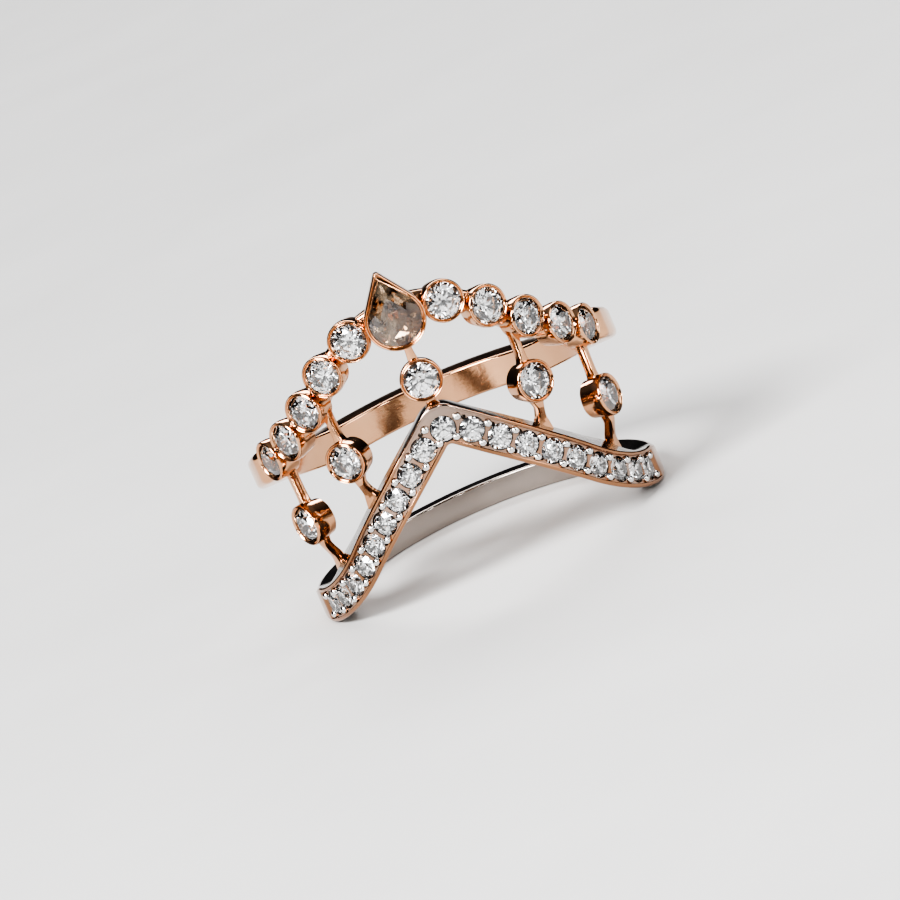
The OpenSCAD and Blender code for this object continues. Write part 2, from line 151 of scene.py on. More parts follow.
# Angles between which the hole widens a little, from the plain shanks to the front
RELIEF_START = 95
RELIEF_END = 99
# A bezel's lip, as distances in from the outside and below the rim, with a fine groove between its
# ridge and its burnished edge. The pear's lip follows the stone from LIP_TURN on, not the collet.
LIP_TURN = 0.12
LIP = (
    (0, 0.11),
    (0.01, 0.05),
    (0.03, 0.015),
    (0.055, 0),
    (0.08, 0.015),
    (0.1, 0.05),
    (0.118, 0.07),
    (0.135, 0.052),
    (0.155, 0.04),
    (0.175, 0.055),
    (0.188, 0.1),
)
# The pits cut beside the beads, and how far along the leg a pit and its bead stand from the middle
# between two stones
PIT_D = 0.24
PIT_DEPTH = 0.4
PIT_FLARE = 0.03
PIT_ALONG = 0.19
BEAD_ALONG = -0.07
BEAD_LIFT = 0.02
BEAD_STRETCH = 1.1
# A strut ends inside its cup's wall, this far from the cup's middle
STRUT_REACH = 0.92
STRUT_EDGE = 0.08
# Share of a stone's outline where the long facets of its pavilion end, and the pear's own shares
LOWER_SHARE = 0.22
PEAR_TABLE_SHARE = 0.52
PEAR_STAR_SHARE = 0.5
# Middle of the pear stone's facets, across and up from the middle of its round end
PEAR_MIDDLE = (0, 0.3)

# Lights that all aim at the ring: name, place, width and height in metres, and power in watts
LIGHT_AIM = (0, 0, 0.008)
LIGHTS = (
    ("key", (-0.26, -0.3, 0.34), (0.22, 0.22), 6.5),
    ("fill", (0.42, -0.2, 0.2), (0.2, 0.4), 1.2),
    ("rim", (0.05, 0.4, 0.34), (0.5, 0.15), 2.5),
    ("sparkle_0", (-0.4, -0.3, 0.08), (0.05, 0.05), 0.45),
    ("sparkle_1", (0.1, -0.45, 0.3), (0.05, 0.05), 0.45),
    ("sparkle_2", (-0.1, -0.5, 0.12), (0.05, 0.05), 0.45),
    ("sparkle_3", (0.3, -0.4, 0.2), (0.05, 0.05), 0.45),
)
# The surroundings' tone from the horizon, at 0.5, to straight above
WORLD_TONES = (
    (0.5, (0.4, 0.4, 0.4)),
    (0.54, (0.012, 0.012, 0.014)),
    (0.8, (0.05, 0.05, 0.053)),
    (1.0, (0.3, 0.3, 0.31)),
)

SEAT_GAP = 0.04
CUP_GIRDLE_R = BORE_R + CUP_H - CUP_SINK
PAVE_GIRDLE_R = CHEVRON_R - PAVE_SINK
PEAR_GIRDLE_R = BORE_R + PEAR_RIM_H - PEAR_SINK
ROW_R = CUP_GIRDLE_R + STONE_D * CROWN_SHARE
FRONT_R = BORE_R + FRONT_RELIEF
# The walls' slopes are worked out from here, inside the finger hole
INSIDE_R = BORE_R - 0.6


def sind(a):
    return math.sin(math.radians(a))


def cosd(a):
    return math.cos(math.radians(a))


def tand(a):
    return math.tan(math.radians(a))


def arc_of(angle, r):
    return math.radians(angle) * r


def angle_of(s, r):
    return math.degrees(s / r)


def ease(angle, start, end):
    """A share that rises from 0 to 1 between two angles, with a soft start and stop."""
    u = min(max((angle - start) / (end - start), 0.0), 1.0)
    return u * u * (3 - 2 * u)


def mix(a, b, share):
    return a + (b - a) * share


def on_ring(angle, r, z):
    return (r * sind(angle), -r * cosd(angle), z)


# The bands' middle lines: a round crest, a straight slope and a round foot that ends level

CHEVRON_FOOT_S = arc_of(CHEVRON_FOOT_ANGLE, CHEVRON_R)
ROW_FOOT_S = arc_of(ROW_FOOT_ANGLE, ROW_R)


def crest_for(level, slope, foot_round, foot_s):
    return level + foot_round + foot_s * tand(slope) - foot_round / cosd(slope)


CHEVRON_CREST = crest_for(CHEVRON_W / 2, CHEVRON_SLOPE, CHEVRON_FOOT_ROUND, CHEVRON_FOOT_S)
ROW_CREST = crest_for(ROW_LEVEL, ROW_SLOPE, ROW_FOOT_ROUND, ROW_FOOT_S)


def leg_height(s, beside, crest, slope, crest_round, foot_round, foot_s):
    line = crest + beside / cosd(slope)
    foot = foot_round - beside
    foot_z = crest - foot_s * tand(slope) + foot_round / cosd(slope)
    if s < crest_round * sind(slope):
        return line - crest_round / cosd(slope) + math.sqrt(crest_round**2 - s**2)
    if s < foot_s - foot * sind(slope):
        return line - s * tand(slope)
    if s < foot_s:
        return foot_z - math.sqrt(foot**2 - (foot_s - s) ** 2)
    return foot_z - foot


def leg_fall(t, slope, crest_round, foot_round, foot_s):
    crest_t = arc_of(slope, crest_round)
    slope_s = foot_s - (foot_round + crest_round) * sind(slope)
    foot_t = crest_t + slope_s / cosd(slope)
    if t < crest_t:
        return angle_of(t, crest_round)
    if t < foot_t:
        return slope
    return slope - angle_of(t - foot_t, foot_round)


def leg_arc(t, slope, crest_round, foot_round, foot_s):
    fall = leg_fall(t, slope, crest_round, foot_round, foot_s)
    crest_t = arc_of(slope, crest_round)
    if t < crest_t:
        return crest_round * sind(fall)
    if fall == slope:
        return crest_round * sind(slope) + (t - crest_t) * cosd(slope)
    return foot_s - foot_round * sind(fall)


def chevron_height(s, beside, crest_round=None):
    """Height of a line beside the middle line, rounded at the point between the edges' radii."""
    if crest_round is None:
        share = beside / CHEVRON_W + 0.5
        crest_round = mix(CHEVRON_INNER_ROUND, CHEVRON_OUTER_ROUND, share)
    return leg_height(
        s, beside, CHEVRON_CREST, CHEVRON_SLOPE, crest_round, CHEVRON_FOOT_ROUND, CHEVRON_FOOT_S
    )


def row_height(s, beside):
    return leg_height(
        s, beside, ROW_CREST, ROW_SLOPE, ROW_CREST_ROUND + beside, ROW_FOOT_ROUND, ROW_FOOT_S
    )


def chevron_at(angle, beside, r):
    """Height of the chevron's surface, whose walls turn square to the front towards the finger."""
    across = beside / CHEVRON_W + 0.5
    narrowing = (CHEVRON_W - CHEVRON_SHANK_W) * across

    def level(a):
        drop = narrowing * ease(a, CHEVRON_SHANK_START, CHEVRON_SHANK_END)
        return chevron_height(arc_of(a, CHEVRON_R), beside) - drop

    a = abs(angle)
    straight_back = math.degrees(math.asin(INSIDE_R / CHEVRON_R * sind(a)))
    turn = mix(LOWER_WALL_TURN, UPPER_WALL_TURN, across)
    turn *= 1 - ease(a, WALL_TURN_START, WALL_TURN_END)
    edge_r = CHEVRON_R - CHEVRON_BEVEL
    inwards = min(max((edge_r - r) / (edge_r - INSIDE_R), 0.0), 1.0)
    return mix(level(a), level(mix(a, straight_back, turn)), inwards)


def row_at(angle, beside, _r):
    """Height of the row's surface, whose shank drops behind. It is the same at any radius."""
    a = abs(angle)
    drop = SHANK_DROP * ease(a, SHANK_DROP_START, SHANK_DROP_END)
    return row_height(arc_of(a, ROW_R), beside) - drop


def chevron_place(t, beside=0.0):
    """Angle, height and fall of the leg at a path length from the front, beside the middle."""
    path = (CHEVRON_SLOPE, CHEVRON_CREST_ROUND, CHEVRON_FOOT_ROUND, CHEVRON_FOOT_S)
    s = leg_arc(t, *path)
    fall = leg_fall(t, *path)
    height = chevron_height(s, 0, CHEVRON_CREST_ROUND) + beside * cosd(fall)
    return angle_of(s + beside * sind(fall), CHEVRON_R), height, fall


def row_place(t):
    s = leg_arc(t, ROW_SLOPE, ROW_CREST_ROUND, ROW_FOOT_ROUND, ROW_FOOT_S)
    return angle_of(s, ROW_R), row_height(s, 0)


def stand_at(angle, z):
    """A matrix that turns local Z outwards at a place on the ring, with local Y up."""
    outwards = Vector((sind(angle), -cosd(angle), 0))
    up = Vector((0, 0, 1))
    across = up.cross(outwards)
    turn = Matrix((across, up, outwards)).transposed().to_4x4()
    return Matrix.Translation((0, 0, z)) @ turn


# Mesh making

SHARP_ANGLE = 35
# A surface counts as facing the finger's axis, and a point as on a radius, within these
FACING_AXIS = 0.97
SAME_RADIUS = 0.003


def make_mesh(name, points, faces):
    mesh = bpy.data.meshes.new(name)
    mesh.from_pydata([Vector(p) * MM for p in points], [], faces)
    bm = bmesh.new()
    bm.from_mesh(mesh)
    bmesh.ops.recalc_face_normals(bm, faces=bm.faces)
    bm.to_mesh(mesh)
    bm.free()
    mesh.shade_smooth()
    mesh.set_sharp_from_angle(angle=math.radians(SHARP_ANGLE))
    piece = bpy.data.objects.new(name, mesh)
    bpy.context.scene.collection.objects.link(piece)
    return piece


def sweep_faces(count, sides, closed):
    """Faces through sections of equal point counts, closed on themselves or capped at both ends."""
    last = count if closed else count - 1
    faces = []
    for i in range(last):
        for j in range(sides):
            a = i * sides + j
            b = i * sides + (j + 1) % sides
            c = ((i + 1) % count) * sides + (j + 1) % sides
            d = ((i + 1) % count) * sides + j
            faces.append((a, b, c, d))
    if not closed:
        faces.append(tuple(range(sides)))
        faces.append(tuple((count - 1) * sides + j for j in range(sides)))
    return faces


def quarter(centre, radii, start, steps=4):
    """Points of a quarter turn round a corner, in (beside, radius)."""
    points = []
    for k in range(steps + 1):
        a = start - 90 * k / steps
        points.append((centre[0] + radii[0] * cosd(a), centre[1] + radii[1] * sind(a)))
    return points


def join(name, pieces):
    for piece in bpy.context.selected_objects:
        piece.select_set(False)
    for piece in pieces:
        piece.select_set(True)
    bpy.context.view_layer.objects.active = pieces[0]
    bpy.ops.object.join()
    pieces[0].name = name
    pieces[0].data.name = name
    return pieces[0]


def cut(piece, cutters):
    """Takes the cutters out of the piece and removes them."""
    tool = join(piece.name + "_tool", cutters)
    modifier = piece.modifiers.new("cut", "BOOLEAN")
    modifier.operation = "DIFFERENCE"
    modifier.solver = "EXACT"
    modifier.use_self = True
    modifier.object = tool
    bpy.context.view_layer.update()
    graph = bpy.context.evaluated_depsgraph_get()
    mesh = bpy.data.meshes.new_from_object(piece.evaluated_get(graph))
    piece.modifiers.clear()
    old = piece.data
    piece.data = mesh
    bpy.data.meshes.remove(old)
    bpy.data.objects.remove(tool)


def true_normals(piece, radii):
    """Gives the faces on these radii the normals of a true cylinder, so that they shade smoothly."""
    mesh = piece.data
    mesh.shade_smooth()
    mesh.set_sharp_from_angle(angle=math.radians(SHARP_ANGLE))
    normals = [Vector(n.vector) for n in mesh.corner_normals]
    for face in mesh.polygons:
        radial = Vector((face.center.x, face.center.y, 0)).normalized()
        facing = face.normal.dot(radial)
        if abs(facing) < FACING_AXIS:
            continue
        for loop in face.loop_indices:
            place = mesh.vertices[mesh.loops[loop].vertex_index].co
            r = math.hypot(place.x, place.y)
            if min(abs(r - radius * MM) for radius in radii) < SAME_RADIUS * MM:
                sign = 1 if facing > 0 else -1
                normals[loop] = Vector((place.x, place.y, 0)).normalized() * sign
    mesh.normals_split_custom_set(normals)


def band_angles():
    """Angles of a band's sections, a quarter of a degree apart at the point and one apart behind."""
    half = [0.25 * k for k in range(1, 16)]
    half += [4 + 0.5 * k for k in range(14)]
    half += list(range(11, 180))
    return [-a for a in reversed(half)] + [0] + half + [180]


def hole_r(angle):
    return mix(FRONT_R, BORE_R, ease(abs(angle), RELIEF_START, RELIEF_END))


def chevron_profile(angle):
    """The chevron band's section, with a channel between two rails in front."""
    half = CHEVRON_W / 2
    behind = ease(abs(angle), CHANNEL_END, CHANNEL_END + CHEVRON_ROUND_FADE)
    edge = mix(CHEVRON_BEVEL, CHEVRON_SHANK_ROUND, behind)
    inner = HOLE_ROUND
    hole = hole_r(angle)
    share = 1 - ease(abs(angle), CHANNEL_END - CHANNEL_FADE, CHANNEL_END + CHANNEL_FADE)
    depth = CHANNEL_DEPTH * share
    wall = half - RAIL_W
    small = (RAIL_ROUND, RAIL_ROUND * share)
    small_r = CHEVRON_R - RAIL_ROUND * share
    points = quarter((-half + inner, hole + inner), (inner, inner), 270)
    points += quarter((-half + edge, CHEVRON_R - edge), (edge, edge), 180)
    points += quarter((-wall - RAIL_ROUND, small_r), small, 90, 2)
    points += [(-wall, CHEVRON_R - depth), (wall, CHEVRON_R - depth)]
    points += quarter((wall + RAIL_ROUND, small_r), small, 180, 2)
    points += quarter((half - edge, CHEVRON_R - edge), (edge, edge), 90)
    points += quarter((half - inner, hole + inner), (inner, inner), 0)
    return points


def row_profile(angle):
    """The crown row's section: a thin rail in front that grows into the plain shank."""
    share = ease(abs(angle), SHANK_START, SHANK_END)
    half = mix(ROW_RAIL_W, SHANK_W, share) / 2
    outside = BORE_R + mix(ROW_RAIL_T, SHANK_T, share)
    edge = mix(ROW_RAIL_ROUND, SHANK_ROUND, share)
    inner = HOLE_ROUND
    hole = hole_r(angle)
    points = quarter((-half + inner, hole + inner), (inner, inner), 270)
    points += quarter((-half + edge, outside - edge), (edge, edge), 180)
    points += quarter((half - edge, outside - edge), (edge, edge), 90)
    points += quarter((half - inner, hole + inner), (inner, inner), 0)
    return points


def band(name, profile, height):
    """A whole band, from its section and the height of a point of it at each angle."""
    points = []
    angles = band_angles()
    for angle in angles:
        points += [on_ring(angle, r, height(angle, beside, r)) for beside, r in profile(angle)]
    sides = len(points) // len(angles)
    return make_mesh(name, points, sweep_faces(len(angles), sides, True))


def turned(profile, steps=48):
    """Points and faces of a closed ring turned round local Z."""
    points = []
    for k in range(steps):
        a = 360 * k / steps
        points += [(radius * cosd(a), radius * sind(a), z) for radius, z in profile]
    return points, sweep_faces(steps, len(profile), True)


def solid_turned(profile, steps=32):
    """Points and faces of a solid turned round local Z, whose profile ends on the axis."""
    points = [(0, 0, profile[0][1]), (0, 0, profile[-1][1])]
    middle = profile[1:-1]
    for k in range(steps):
        a = 360 * k / steps
        points += [(radius * cosd(a), radius * sind(a), z) for radius, z in middle]
    sides = len(middle)
    faces = []
    for k in range(steps):
        here = 2 + k * sides
        there = 2 + (k + 1) % steps * sides
        faces.append((0, there, here))
        for j in range(sides - 1):
            faces.append((here + j, there + j, there + j + 1, here + j + 1))
        faces.append((here + sides - 1, there + sides - 1, 1))
    return points, faces


def placed(name, points, faces, angle, z):
    place = stand_at(angle, z)
    return make_mesh(name, [place @ Vector(p) for p in points], faces)


def seat_cutter(name, d, girdle_r, light_hole_d, angle, z):
    """The seat of a round stone: a straight mouth, a cone beside the pavilion, a light hole."""
    mouth_r = girdle_r - d * GIRDLE_SHARE - SEAT_GAP / 2
    mouth = d / 2 + SEAT_GAP
    cone_h = (2 * mouth - light_hole_d) * PAVILION_SHARE
    hole = light_hole_d / 2
    profile = [
        (0, mouth_r + 1),
        (mouth, mouth_r + 1),
        (mouth, mouth_r),
        (hole, mouth_r - cone_h),
        (hole, BORE_R - 1),
        (0, BORE_R - 1),
    ]
    points, faces = solid_turned(profile)
    return placed(name, points, faces, angle, z)


def pave_places():
    places = [("centre", *chevron_place(0)[:2])]
    for side, sign in SIDES:
        for k in range(1, PAVE_COUNT + 1):
            angle, z, _ = chevron_place(k * PAVE_PITCH)
            places.append((f"{side}_{k}", sign * angle, z))
    return places


def row_places():
    places = []
    for side, sign in SIDES:
        for k in range(1, ROW_COUNT + 1):
            angle, z = row_place(ROW_FIRST + (k - 1) * ROW_PITCH)
            places.append((f"{side}_{k}", sign * angle, z))
    return places


def strut_cup_places():
    places = [("centre", 0, CENTRE_CUP_Z)]
    for side, sign in SIDES:
        places.append((f"{side}_1", sign * NEAR_CUP[0], NEAR_CUP[1]))
        places.append((f"{side}_2", sign * FAR_CUP[0], FAR_CUP[1]))
    return places


def bead_places(along):
    """Places of the beads, or of their pits, moved along the legs away from the point."""
    places = []
    for side, sign in SIDES:
        for k in range(PAVE_COUNT + 1):
            for beside in (-BEAD_OFF, BEAD_OFF):
                angle, z, fall = chevron_place((k + 0.5) * PAVE_PITCH + along, beside)
                places.append((f"{side}_{k}", sign * angle, z, sign * fall))
    return places


def make_chevron():
    piece = band("chevron_band", chevron_profile, chevron_at)
    cutters = []
    floor_r = CHEVRON_R - CHANNEL_DEPTH
    pit_top = floor_r + 0.1
    pit_r = PIT_D / 2
    pit = [
        (0, pit_top),
        (pit_r + PIT_FLARE, pit_top),
        (pit_r, floor_r - PIT_FLARE),
        (pit_r - PIT_FLARE, floor_r - PIT_DEPTH),
        (0, floor_r - PIT_DEPTH - 0.05),
    ]
    points, faces = solid_turned(pit, 16)
    for name, angle, z, _ in bead_places(PIT_ALONG):
        cutters.append(placed("pit_" + name, points, faces, angle, z))
    for name, angle, z in pave_places():
        cutters.append(
            seat_cutter("seat_" + name, PAVE_D, PAVE_GIRDLE_R, PAVE_LIGHT_HOLE_D, angle, z)
        )
    cut(piece, cutters)
    true_normals(piece, (FRONT_R, BORE_R, CHEVRON_R, CHEVRON_R - CHANNEL_DEPTH))
    return piece


def make_row():
    piece = band("crown_row", row_profile, row_at)
    cutters = []
    for name, angle, z in row_places():
        cutters.append(
            seat_cutter("seat_" + name, STONE_D, CUP_GIRDLE_R, CUP_LIGHT_HOLE_D, angle, z)
        )
    # An opening behind the pear, half its size, lets light into the stone
    outline = [(x * 0.5, y * 0.5) for x, y in pear_outline(PEAR_RIM_T)]
    points = [(x, y, level) for level in (BORE_R - 1, BORE_R + 2) for x, y in outline]
    faces = sweep_faces(2, len(outline), False)
    cutters.append(placed("opening_pear", points, faces, 0, PEAR_Z))
    cut(piece, cutters)
    true_normals(piece, (FRONT_R, BORE_R))
    return piece


def cup_profile():
    """Section of a bezel cup with a burnished lip, from the foot up the outside and down the seat."""
    rim = BORE_R + CUP_H
    outside = CUP_D / 2
    foot = CUP_BASE_D / 2
    hole = CUP_LIGHT_HOLE_D / 2
    seat = STONE_D / 2 + SEAT_GAP
    grip = STONE_D / 2 - 0.01
    back = BORE_R + CUP_BACK
    mouth = CUP_GIRDLE_R - STONE_D * GIRDLE_SHARE - SEAT_GAP / 2
    cone_h = (2 * seat - CUP_LIGHT_HOLE_D) * PAVILION_SHARE
    foot_round = 0.05
    hole_round = 0.03
    profile = [(foot - foot_round, back), (foot, back + foot_round)]
    profile += [(outside - 0.01, rim - CUP_STRAIGHT), (outside, rim - CUP_STRAIGHT + 0.08)]
    profile += [(outside - inset, rim - fall) for inset, fall in LIP]
    # The lip grips the stone just inside its girdle
    profile += [(grip, rim - 0.15), (grip + 0.01, rim - 0.165)]
    profile += [(seat, rim - 0.17), (seat, mouth)]
    profile += [(hole, mouth - cone_h), (hole, back + hole_round)]
    profile += [(hole + hole_round, back), ((hole + foot) / 2, back)]
    return profile


def make_cups():
    points, faces = turned(cup_profile())
    pieces = []
    for name, angle, z in row_places():
        pieces.append(placed("row_cup_" + name, points, faces, angle, z))
    for name, angle, z in strut_cup_places():
        pieces.append(placed("strut_cup_" + name, points, faces, angle, z))
    return join("round_cups", pieces)


def pear_side(inset, steps):
    """The pear's right side, drawn in by an inset, from its tip down to its round end."""
    round_r = PEAR_W / 2
    tip = PEAR_H - round_r
    arc_y = (tip**2 - PEAR_SIDE_ROUND**2 + (PEAR_SIDE_ROUND - round_r) ** 2) / (2 * tip)
    arc_x = math.sqrt((PEAR_SIDE_ROUND - round_r) ** 2 - arc_y**2)
    long_r = PEAR_SIDE_ROUND - inset
    end_r = round_r - inset
    tip_turn = math.degrees(math.acos(arc_x / long_r))
    meet_turn = math.degrees(math.atan2(-arc_y, arc_x))
    points = []
    for k in range(steps):
        turn = mix(tip_turn, meet_turn, k / steps)
        points.append((-arc_x + long_r * cosd(turn), arc_y + long_r * sind(turn)))
    for k in range(steps + 1):
        turn = mix(meet_turn, -90, k / steps)
        points.append((end_r * cosd(turn), end_r * sind(turn)))
    return points


def pear_outline(inset, steps=16):
    right = pear_side(inset, steps)
    return right + [(-x, y) for x, y in reversed(right[1:-1])]


def collet_outline(inset, end_r, nose_r, nose_y, nose_steps=8, end_steps=24):
    """Outside of the collet: a round end and a round nose joined by straight sides."""
    join_turn = math.degrees(math.asin((end_r - nose_r) / nose_y))
    right = []
    for k in range(nose_steps + 1):
        turn = mix(90, join_turn, k / nose_steps)
        nose = nose_r - inset
        right.append((max(nose * cosd(turn), 0), nose_y + nose * sind(turn)))
    for k in range(end_steps + 1):
        turn = mix(join_turn, -90, k / end_steps)
        right.append(((end_r - inset) * cosd(turn), (end_r - inset) * sind(turn)))
    return right + [(-x, y) for x, y in reversed(right[1:-1])]


def pear_reach(outline, way):
    """How far an outline lies from the pear's middle along a way, in lengths of that way."""
    middle = Vector(PEAR_MIDDLE)
    for k, corner in enumerate(outline):
        start = Vector(corner) - middle
        step = Vector(outline[(k + 1) % len(outline)]) - Vector(corner)
        cross = way.x * step.y - way.y * step.x
        if abs(cross) < 1e-12:
            continue
        far = (start.x * step.y - start.y * step.x) / cross
        along = (start.x * way.y - start.y * way.x) / cross
        if far > 0 and -1e-9 <= along <= 1 + 1e-9:
            return far
    raise ValueError("the pear's outline has a gap")


def make_pear_collet():
    rim = BORE_R + PEAR_RIM_H
    # The foot lies a hair inside the finger hole, so that it shares no face with the band
    foot = FRONT_R - 0.004
    tip = PEAR_H - PEAR_W / 2
    end_r = PEAR_W / 2
    foot_outline = collet_outline(
        0, end_r - PEAR_TAPER, PEAR_FOOT_NOSE, tip - PEAR_FOOT_NOSE_IN
    )

    def rim_outline(inset):
        return collet_outline(inset, end_r, PEAR_NOSE, tip - PEAR_NOSE_IN)

    def seat_outline(inset, share=1):
        """The stone's outline, with a point for each point of the collet's outside."""
        target = pear_outline(inset, 24)
        middle = Vector(PEAR_MIDDLE)
        points = []
        for x, y in rim_outline(0):
            way = Vector((x, y)) - middle
            place = middle + way * pear_reach(target, way)
            points.append((place.x * share, place.y * share))
        return points

    gap = PEAR_RIM_T - SEAT_GAP
    girdle = PEAR_GIRDLE_R - PEAR_GIRDLE - SEAT_GAP
    hollow = seat_outline(gap, PEAR_LIGHT_HOLE)
    rings = [(foot_outline, foot), (rim_outline(0), rim - PEAR_STRAIGHT)]
    for inset, fall in LIP:
        outline = rim_outline(inset) if inset < LIP_TURN else seat_outline(inset)
        rings.append((outline, rim - fall))
    rings += [
        (seat_outline(PEAR_RIM_T + 0.01), rim - PEAR_SINK),
        (seat_outline(gap), rim - PEAR_SINK - 0.02),
        (seat_outline(gap), girdle),
        (hollow, PEAR_GIRDLE_R - PEAR_PAVILION),
        (hollow, foot),
        (seat_outline(gap, 2 * PEAR_LIGHT_HOLE), foot),
    ]
    points = []
    for outline, level in rings:
        for x, y in outline:
            # The collet's foot follows the finger hole
            z = math.sqrt(foot**2 - x**2) if level == foot else level
            points.append((x, y, z))
    faces = sweep_faces(len(rings), len(foot_outline), True)
    return placed("pear_collet", points, faces, 0, PEAR_Z)


def strut_section(angle, z, front, half, fall):
    """A rounded flat section. Fall is how far it drops for each step away from the middle."""
    edge = min(STRUT_EDGE, half * 0.45)
    back = front - STRUT_T
    # No strut comes nearer the finger than this
    inside = FRONT_R + 0.03
    flat = quarter((-half + edge, back + edge), (edge, edge), 270, 3)
    flat += quarter((-half + edge, front - edge), (edge, edge), 180, 3)
    flat += quarter((half - edge, front - edge), (edge, edge), 90, 3)
    flat += quarter((half - edge, back + edge), (edge, edge), 0, 3)
    return [on_ring(angle + angle_of(x, front), max(r, inside), z - fall * x) for x, r in flat]


def smooth_rows(rows, steps=6):
    """The rows, with steps added between them on a smooth curve through them all."""
    last = len(rows) - 1
    path = []
    for i in range(last):
        before = rows[max(i - 1, 0)]
        after = rows[min(i + 2, last)]
        for k in range(steps):
            u = k / steps
            row = []
            for p, a, b, n in zip(before, rows[i], rows[i + 1], after):
                bend = (2 * p - 5 * a + 4 * b - n) * u**2 + (3 * a - p - 3 * b + n) * u**3
                row.append(a + ((b - p) * u + bend) / 2)
            path.append(row)
    return path + [rows[last]]


def strut(name, rows, sign):
    """A strut through rows of (angle, height, front above the bore, share of its width, fall)."""
    sections = []
    for angle, z, front, width, fall in smooth_rows(rows):
        sections.append(
            strut_section(sign * angle, z, BORE_R + front, STRUT_W * width / 2, sign * fall)
        )
    points = [p for section in sections for p in section]
    return make_mesh(name, points, sweep_faces(len(sections), len(sections[0]), False))


def make_struts():
    cup, row, foot, reach = STRUT_CUP_H, STRUT_ROW_H, STRUT_FOOT_H, STRUT_REACH
    near_z = NEAR_CUP[1]
    far_z = FAR_CUP[1]
    side_struts = {
        "near_top": [
            (34.4, near_z + 3.2, row, 1.5, 0),
            (33.6, near_z + 2.3, row + 0.05, 1, 0),
            (32.7, near_z + 1.3, cup, 1, 0),
            (32.5, near_z + reach, cup, 1.7, 0),
        ],
        "near_foot": [
            (31.7, near_z - reach, cup, 1.7, 0),
            (31.6, near_z - 1.3, cup, 1, 0),
            (33.0, near_z - 1.9, foot + 0.4, 1.05, 0.3),
            (33.6, near_z - 2.25, foot + 0.2, 1.5, 0.6),
            (33.9, near_z - 2.6, foot + 0.1, 1.9, 0.75),
            (34.2, near_z - 3.1, foot, 2, 0.75),
        ],
        "far_top": [
            (62.4, far_z + 3.6, row, 1.5, 0),
            (61.2, far_z + 2.6, row + 0.05, 1, 0),
            (59.5, far_z + 1.3, cup, 1, 0),
            (59.3, far_z + reach, cup, 1.7, 0),
        ],
        "far_foot": [
            (58.5, far_z - reach, cup, 1.7, 0),
            (58.4, far_z - 1.3, cup - 0.05, 1, 0),
            (61.6, far_z - 2.1, foot + 0.35, 1.05, 0.2),
            (63.2, far_z - 2.55, foot + 0.18, 1.35, 0.35),
            (64.2, far_z - 2.9, foot + 0.1, 1.7, 0.4),
            (65, far_z - 3.3, foot, 1.8, 0.4),
        ],
    }
    centre_top = [
        (0, PEAR_Z - 1, cup, 1.3, 0),
        (0, PEAR_Z - 1.6, cup, 0.95, 0),
        (0, CENTRE_CUP_Z + reach, cup, 1.3, 0),
    ]
    centre_foot = [
        (0, CENTRE_CUP_Z - reach, cup, 1.4, 0),
        (0, CENTRE_CUP_Z - 1.2, cup - 0.1, 1.2, 0),
        (0, CENTRE_CUP_Z - 1.6, (cup + foot) / 2, 2, 0),
        (0, CENTRE_CUP_Z - 2, foot, 2.6, 0),
    ]
    pieces = [strut("strut_centre_top", centre_top, 1), strut("strut_centre_foot", centre_foot, 1)]
    for side, sign in SIDES:
        for end, rows in side_struts.items():
            pieces.append(strut(f"strut_{side}_{end}", rows, sign))
    return join("struts", pieces)


def make_beads():
    pieces = []
    size = Matrix.Diagonal((BEAD_STRETCH, 1, 1, 1))
    lift = Matrix.Translation((0, 0, (CHEVRON_R - CHANNEL_DEPTH + BEAD_LIFT) * MM))
    for name, angle, z, fall in bead_places(BEAD_ALONG):
        mesh = bpy.data.meshes.new("bead")
        bm = bmesh.new()
        bmesh.ops.create_uvsphere(bm, u_segments=20, v_segments=12, radius=BEAD_D / 2 * MM)
        along = Matrix.Rotation(math.radians(-fall), 4, "Z")
        move = Matrix.Translation((0, 0, z * MM))
        matrix = move @ stand_at(angle, 0) @ lift @ along @ size
        bmesh.ops.transform(bm, matrix=matrix, verts=bm.verts)
        bm.to_mesh(mesh)
        bm.free()
        mesh.shade_smooth()
        piece = bpy.data.objects.new("bead_" + name, mesh)
        bpy.context.scene.collection.objects.link(piece)
        pieces.append(piece)
    return join("pave_beads", pieces)


# Stones


